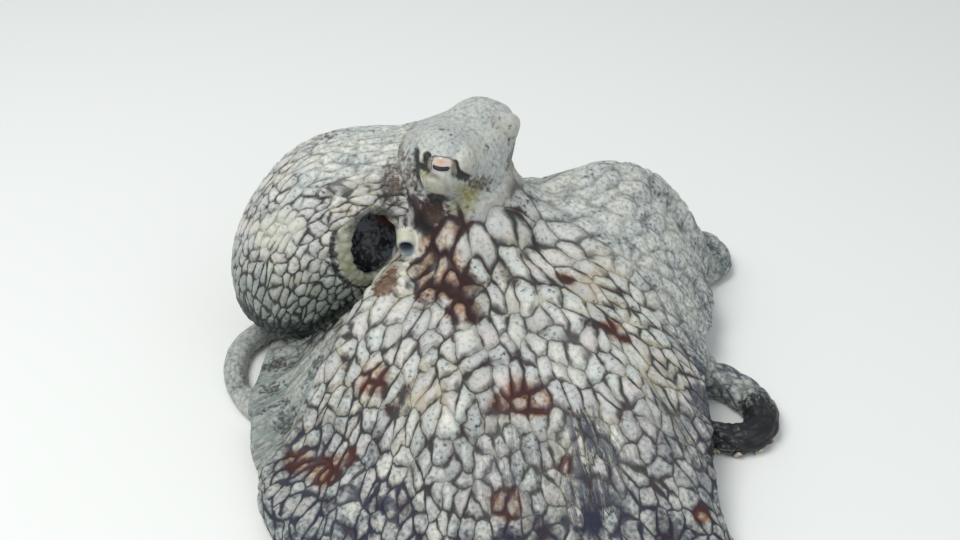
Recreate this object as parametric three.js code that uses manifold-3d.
// A life-size reef octopus that sits up on flat ground with its web spread round it like a skirt.
// Millimetres, +Z up. The head faces +X, its left side is +Y, and every arm rests at the same level.
// The forms are made whole and then parted by thin cuts, so that neighbours meet without touching.
import * as THREE from "three";
import { LoftGeometry } from "three/addons/geometries/LoftGeometry.js";
import { mergeVertices } from "three/addons/utils/BufferGeometryUtils.js";
import Module from "manifold-3d";

const wasm = await Module();
wasm.setup();

// ---------------------------------------------------------------- driving dimensions
const GAP = 0.3; // the cut between two neighbours

const HEAD = { centre: [-9, 0, 125], size: [32, 30, 34] };
const TURRET = { centre: [-5, 21, 144], size: [21, 15.5, 20] }; // the raised mound round each eye
const EYE = { centre: [1, 26, 147], radius: 10.5 };

// Where the arms join, under the head: a drum with a narrower foot, a level waist and a shoulder.
const CROWN = {
  x: 4,
  radius: 40,
  foot: { height: 58, radius: 25 },
  waist: [76, 90],
  shoulder: { height: 114, radius: 38 },
  sides: 20,
};

const MANTLE = {
  neck: [-22, -4, 122],
  back: [-82, -28, 108],
  tip: [-98, -82, 22],
  neckRadius: 27,
  radius: 49,
  swell: 0.5, // share of its length over which it widens
  cap: 0.5, // share of its length that rounds off the end
  capPower: 2.4,
  sections: 14,
  sides: 16,
};
const APERTURE = { centre: [-33, -52, 93], size: [17, 18, 20] }; // the gaping edge of the mantle
const FUNNEL = {
  root: [-34, -16, 100],
  mouth: [-12, -48, 96],
  radius: 7.5,
  bore: 4.5,
  depth: 14,
  sides: 12,
};

const ARM = {
  firstRoot: 22.5, // degrees round the crown from the face, and the rest follow evenly
  rootDistance: 30, // from the crown's axis
  rootHeight: 80,
  radius: 14.5,
  tipRadius: 1.4,
  taper: 0.92,
  flattening: 0.9, // height over width
  floorShare: 0.72, // height of a resting arm's centre over its radius
  landing: 1.25, // how softly it meets the ground
  sides: [8, 8, 6], // round each of its lengths
  longestStep: 20,
  shortestStep: 4,
  sharpestStep: 29, // degrees of bend between two sections
  cuts: [0.4, 0.7], // where it is parted into lengths
};

// Each arm heads out straight until it lands, then takes its bends: [run, turn to the left].
const ARMS = [
  { name: "left_1", heading: 15, land: 116, fullness: 2.4, rootHeight: 87, length: 430,
    web: 110, bends: [[40, -52], [42, -132], [50, 10], [90, 170], [100, 310]] },
  { name: "left_2", heading: 54, land: 136, fullness: 4.6, rootHeight: 86, arch: 14, length: 450,
    web: 134, bends: [[55, 175], [40, 0], [100, 170], [130, 290]] },
  { name: "left_3", heading: 98, land: 122, fullness: 1.9, rootHeight: 74, length: 430,
    web: 112, bends: [[55, 178], [42, 0], [100, 150], [111, 200]] },
  { name: "left_4", heading: 146, land: 130, fullness: 1.6, rootHeight: 74, length: 430, web: 115,
    bends: [[55, 172], [46, 0], [100, 165], [120, 260]] },
  { name: "right_4", heading: -148, land: 86, fullness: 1, rootHeight: 64, length: 340, web: 88,
    thickness: 0.75, bends: [[50, 88], [48, 45], [60, 60], [100, -60]] },
  { name: "right_3", heading: -94, land: 122, fullness: 2.3, length: 480, web: 176,
    bends: [[45, 66], [90, -36], [80, -80], [120, -170]] },
  { name: "right_2", heading: -59, land: 190, fullness: 2.6, length: 520, web: 192,
    bends: [[80, 20], [110, -50], [140, -200]] },
  { name: "right_1", heading: -21, land: 190, fullness: 2.6, length: 500, web: 190,
    bends: [[70, -12], [90, 60], [150, 190]] },
];

// The web from each arm to the next one. dip draws its edge in, and sag lets it hang between them.
const WEB = { thickness: 3, cover: 0.62, across: 5, along: 6, lowest: 1.5, sagStart: 0.5 };
const WEB_SHAPES = [
  { dip: 0.02, sag: -0.02 },
  { dip: 0.02, sag: 0.03 },
  { dip: 0.14, sag: 0.05 },
  { dip: 0.2, sag: 0.5 },
  { dip: 0.1, sag: 0.12 },
  { dip: 0.04, sag: 0.02 },
  { dip: 0.06, sag: 0.04 },
  { dip: 0.12, sag: 0.04 },
];

const LOOKS = {
  skin: { color: 0xb9b3a2, roughness: 0.62 },
  funnel: { color: 0xcfcec4, roughness: 0.55 },
  eye: { color: 0xd9cfae, roughness: 0.2 },
};

// ---------------------------------------------------------------- small helpers
const { degToRad, lerp, clamp, smoothstep } = THREE.MathUtils;
const vector = (values) => new THREE.Vector3(...values);
const UP = new THREE.Vector3(0, 0, 1);

function solid(geometry) {
  const bare = new THREE.BufferGeometry();
  bare.setAttribute("position", geometry.getAttribute("position"));
  bare.setIndex(geometry.index);
  const merged = mergeVertices(bare, 1e-4);
  return new wasm.Manifold(
    new wasm.Mesh({
      numProp: 3,
      vertProperties: merged.attributes.position.array,
      triVerts: new Uint32Array(merged.index.array),
    }),
  );
}

function geometryOf(form) {
  const mesh = form.getMesh();
  return new THREE.BufferGeometry()
    .setAttribute("position", new THREE.BufferAttribute(mesh.vertProperties, 3))
    .setIndex(new THREE.BufferAttribute(mesh.triVerts, 1));
}

const loft = (sections) => solid(new LoftGeometry(sections, { capStart: true, capEnd: true }));

// Cuts a form, and keeps its main body where a cut leaves a scrap.
function without(form, cutters) {
  const bodies = cutters.reduce((left, cutter) => left.subtract(cutter), form).decompose();
  return bodies.reduce((main, body) => (body.volume() > main.volume() ? body : main));
}

function ellipsoid(centre, size, grow = 0, detail = [12, 9]) {
  const ball = new THREE.SphereGeometry(1, ...detail);
  ball.rotateX(Math.PI / 2);
  ball.scale(...size.map((half) => half + grow));
  ball.translate(...centre);
  return solid(ball);
}

// A closed section square to a tangent, with its width level.
function section(centre, tangent, width, height, sides) {
  const side = new THREE.Vector3().crossVectors(UP, tangent).normalize();
  const rise = new THREE.Vector3().crossVectors(tangent, side);
  return Array.from({ length: sides }, (_, i) => {
    const angle = ((i + 0.5) / sides) * 2 * Math.PI;
    return centre
      .clone()
      .addScaledVector(side, width * Math.cos(angle))
      .addScaledVector(rise, height * Math.sin(angle));
  });
}

// ---------------------------------------------------------------- arms
const armRadius = (arm, s) =>
  ARM.radius * (arm.thickness ?? 1) * Math.max(0, 1 - s / arm.length) ** ARM.taper + ARM.tipRadius;

// Height of the arm's centre: full near the crown, then down to the ground where it lands.
function armHeight(arm, s) {
  const ground = armRadius(arm, s) * ARM.floorShare;
  const fall = (1 - Math.min(1, s / arm.land) ** arm.fullness) ** ARM.landing;
  const arch = (arm.arch ?? 0) * Math.sin(Math.PI * Math.min(1, s / arm.land));
  return lerp(ground, (arm.rootHeight ?? ARM.rootHeight) + arch, fall);
}

// Walks along the arm's plan a millimetre at a time, and keeps each point of its centre line.
function centreLine(arm, index) {
  const root = degToRad(ARM.firstRoot + (360 / ARMS.length) * index);
  const plan = new THREE.Vector2(CROWN.x, 0);
  plan.add(new THREE.Vector2(Math.cos(root), Math.sin(root)).multiplyScalar(ARM.rootDistance));
  let heading = degToRad(arm.heading);
  const line = [];
  for (const [run, turn] of [[arm.land, 0], ...arm.bends]) {
    for (let step = 0; step < run && line.length <= arm.length; step++) {
      line.push(new THREE.Vector3(plan.x, plan.y, armHeight(arm, line.length)));
      heading += degToRad(turn) / run;
      plan.add(new THREE.Vector2(Math.cos(heading), Math.sin(heading)));
    }
  }
  return line;
}

function pointAlong(line, s) {
  const i = Math.floor(clamp(s, 0, line.length - 1.001));
  return line[i].clone().lerp(line[i + 1], s - i);
}

function tangentAlong(line, s, span = 3) {
  const back = pointAlong(line, clamp(s - span, 0, line.length - 2));
  return pointAlong(line, clamp(s + span, 1, line.length - 1)).sub(back).normalize();
}

// Places of the sections between two stations, closer together where the arm bends.
function stations(line, from, to) {
  const places = [from];
  for (let s = from + 1; s < to - ARM.shortestStep; s++) {
    const last = places.at(-1);
    const bend = THREE.MathUtils.radToDeg(tangentAlong(line, s).angleTo(tangentAlong(line, last)));
    const sharp = bend >= ARM.sharpestStep && s - last >= ARM.shortestStep;
    if (sharp || s - last >= ARM.longestStep) places.push(s);
  }
  return [...places, to];
}

// One length of an arm. Nothing of it reaches below the ground, so its underside is flat there.
function armLength(arm, from, to, sides, grow = 0) {
  const sections = stations(arm.line, from, to).map((s) => {
    const r = armRadius(arm, s) + grow;
    const tangent = tangentAlong(arm.line, s);
    const points = section(pointAlong(arm.line, s), tangent, r, r * ARM.flattening, sides);
    for (const point of points) point.z = Math.max(point.z, -grow);
    return points;
  });
  return loft(sections);
}

// ---------------------------------------------------------------- web
// The plan point between two others, taken round the crown's axis.
function between(a, b, u) {
  const angles = [a, b].map((p) => Math.atan2(p.y, p.x - CROWN.x));
  const radii = [a, b].map((p) => Math.hypot(p.x - CROWN.x, p.y));
  const turn = (angles[1] - angles[0] + 4 * Math.PI) % (2 * Math.PI);
  const angle = angles[0] + turn * u;
  const r = lerp(radii[0], radii[1], u);
  return new THREE.Vector2(CROWN.x + r * Math.cos(angle), r * Math.sin(angle));
}

function webPoint(from, to, shape, u, v) {
  const bow = Math.sin(Math.PI * u);
  const share = v * (1 - shape.dip * bow);
  const ends = [from, to].map((arm) => {
    const s = share * arm.web;
    const point = pointAlong(arm.line, s);
    point.z += armRadius(arm, s) * WEB.cover;
    return point;
  });
  const plan = between(...ends, u);
  const hang = shape.sag * bow * Math.min(1, v / WEB.sagStart);
  const level = lerp(ends[0].z, ends[1].z, u) * (1 - hang);
  return new THREE.Vector3(plan.x, plan.y, Math.max(level, WEB.thickness + WEB.lowest));
}

function webSheet(from, to, shape, step = 0.02) {
  const at = (u, v) => webPoint(from, to, shape, u, v);
  const under = (u, v) => {
    const along = at(u, Math.min(1, v + step)).sub(at(u, Math.max(0, v - step)));
    const across = at(Math.min(1, u + step), v).sub(at(Math.max(0, u - step), v));
    return at(u, v).addScaledVector(along.cross(across).normalize(), -WEB.thickness);
  };
  const rows = [];
  for (let i = 0; i <= WEB.along; i++) {
    const v = i / WEB.along;
    const places = Array.from({ length: WEB.across + 1 }, (_, j) => j / WEB.across);
    rows.push([...places.map((u) => under(u, v)), ...places.toReversed().map((u) => at(u, v))]);
  }
  return loft(rows);
}

// ---------------------------------------------------------------- crown, head, mantle, funnel
function crownForm(grow = 0) {
  const { radius, foot, waist, shoulder, sides } = CROWN;
  const profile = [
    [0, foot.height - grow],
    [foot.radius + grow, foot.height - grow],
    ...waist.map((height) => [radius + grow, height]),
    [shoulder.radius + grow, shoulder.height + grow],
    [0, shoulder.height + grow],
  ].map((point) => new THREE.Vector2(...point));
  const geometry = new THREE.LatheGeometry(profile, sides);
  geometry.rotateX(Math.PI / 2);
  geometry.translate(CROWN.x, 0, 0);
  return solid(geometry);
}

function headForm(grow = 0) {
  const [x, y, z] = TURRET.centre;
  return [y, -y].reduce(
    (form, side) => form.add(ellipsoid([x, side, z], TURRET.size, grow)),
    ellipsoid(HEAD.centre, HEAD.size, grow),
  );
}

// The sac widens from the neck and rounds off at its end, bent over to the animal's right.
function mantleForm(grow = 0) {
  const spine = new THREE.QuadraticBezierCurve3(...[MANTLE.neck, MANTLE.back, MANTLE.tip].map(vector));
  const sections = Array.from({ length: MANTLE.sections }, (_, i) => {
    const t = Math.sin((i / (MANTLE.sections - 1)) * (Math.PI / 2)); // closer together at the end
    const swell = lerp(MANTLE.neckRadius, MANTLE.radius, smoothstep(t, 0, MANTLE.swell));
    const end = Math.max(0, t - (1 - MANTLE.cap)) / MANTLE.cap;
    const r = Math.max(1, swell * Math.sqrt(1 - end ** MANTLE.capPower)) + grow;
    return section(spine.getPoint(t), spine.getTangent(t), r, r, MANTLE.sides);
  });
  return loft(sections);
}

// A blind tube, or the plain rod that takes its room when it is grown.
function funnelTube(grow = 0) {
  const root = vector(FUNNEL.root);
  const mouth = vector(FUNNEL.mouth);
  const tangent = mouth.clone().sub(root).normalize();
  const pipe = (radius, from, to) =>
    loft([from, to].map((end) => section(end, tangent, radius, radius, FUNNEL.sides)));
  const past = (distance) => mouth.clone().addScaledVector(tangent, distance);
  const tube = pipe(FUNNEL.radius + grow, root, past(grow));
  return grow > 0 ? tube : tube.subtract(pipe(FUNNEL.bore, past(-FUNNEL.depth), past(1)));
}

// ---------------------------------------------------------------- the animal
const animal = new THREE.Group();

function put(name, form, look) {
  const material = new THREE.MeshStandardMaterial({ metalness: 0, ...look });
  const mesh = new THREE.Mesh(geometryOf(form), material);
  mesh.name = name;
  animal.add(mesh);
}

ARMS.forEach((arm, index) => {
  arm.line = centreLine(arm, index);
});

const [eyeX, eyeY, eyeZ] = EYE.centre;
const eyeballs = { left: [eyeX, eyeY, eyeZ], right: [eyeX, -eyeY, eyeZ] };
const eyeSize = [EYE.radius, EYE.radius, EYE.radius];
const sockets = Object.values(eyeballs).map((centre) => ellipsoid(centre, eyeSize, GAP));
for (const [side, centre] of Object.entries(eyeballs)) {
  put(`eye_${side}`, ellipsoid(centre, eyeSize), LOOKS.eye);
}

const headRoom = headForm(GAP);
const crownRoom = crownForm(GAP);
const mantleRoom = mantleForm(GAP);
const funnelRoom = funnelTube(GAP);
const pocket = ellipsoid(APERTURE.centre, APERTURE.size);

put("head", without(headForm(), sockets), LOOKS.skin);
put("crown", without(crownForm(), [headRoom]), LOOKS.skin);
put("mantle", without(mantleForm(), [headRoom, crownRoom, funnelRoom, pocket]), LOOKS.skin);
put("funnel", without(funnelTube(), [headRoom, crownRoom]), LOOKS.funnel);

const armRooms = ARMS.map((arm) => armLength(arm, 0, arm.line.length - 1, ARM.sides[0], GAP));
ARMS.forEach((arm, index) => {
  const next = armRooms[(index + 1) % ARMS.length];
  const ends = [0, ...ARM.cuts.map((share) => share * arm.length), arm.line.length - 1];
  ["base", "middle", "tip"].forEach((part, i) => {
    const from = ends[i] + (i > 0 ? GAP / 2 : 0);
    const to = ends[i + 1] - (i < 2 ? GAP / 2 : 0);
    const form = armLength(arm, from, to, ARM.sides[i]);
    const cutters = [crownRoom, headRoom, mantleRoom, funnelRoom, next];
    put(`arm_${arm.name}_${part}`, i > 0 ? form : without(form, cutters), LOOKS.skin);
  });
});

WEB_SHAPES.forEach((shape, index) => {
  const from = ARMS[index];
  const to = ARMS[(index + 1) % ARMS.length];
  const cutters = [crownRoom, headRoom, mantleRoom, funnelRoom, ...armRooms];
  put(`web_${from.name}_${to.name}`, without(webSheet(from, to, shape), cutters), LOOKS.skin);
});

// The part's origin is under the middle of its box, on the ground.
const box = new THREE.Box3().setFromObject(animal);
const middle = box.getCenter(new THREE.Vector3());
animal.position.set(-middle.x, -middle.y, -box.min.z);
const group = new THREE.Group();
group.add(animal);

export default group;
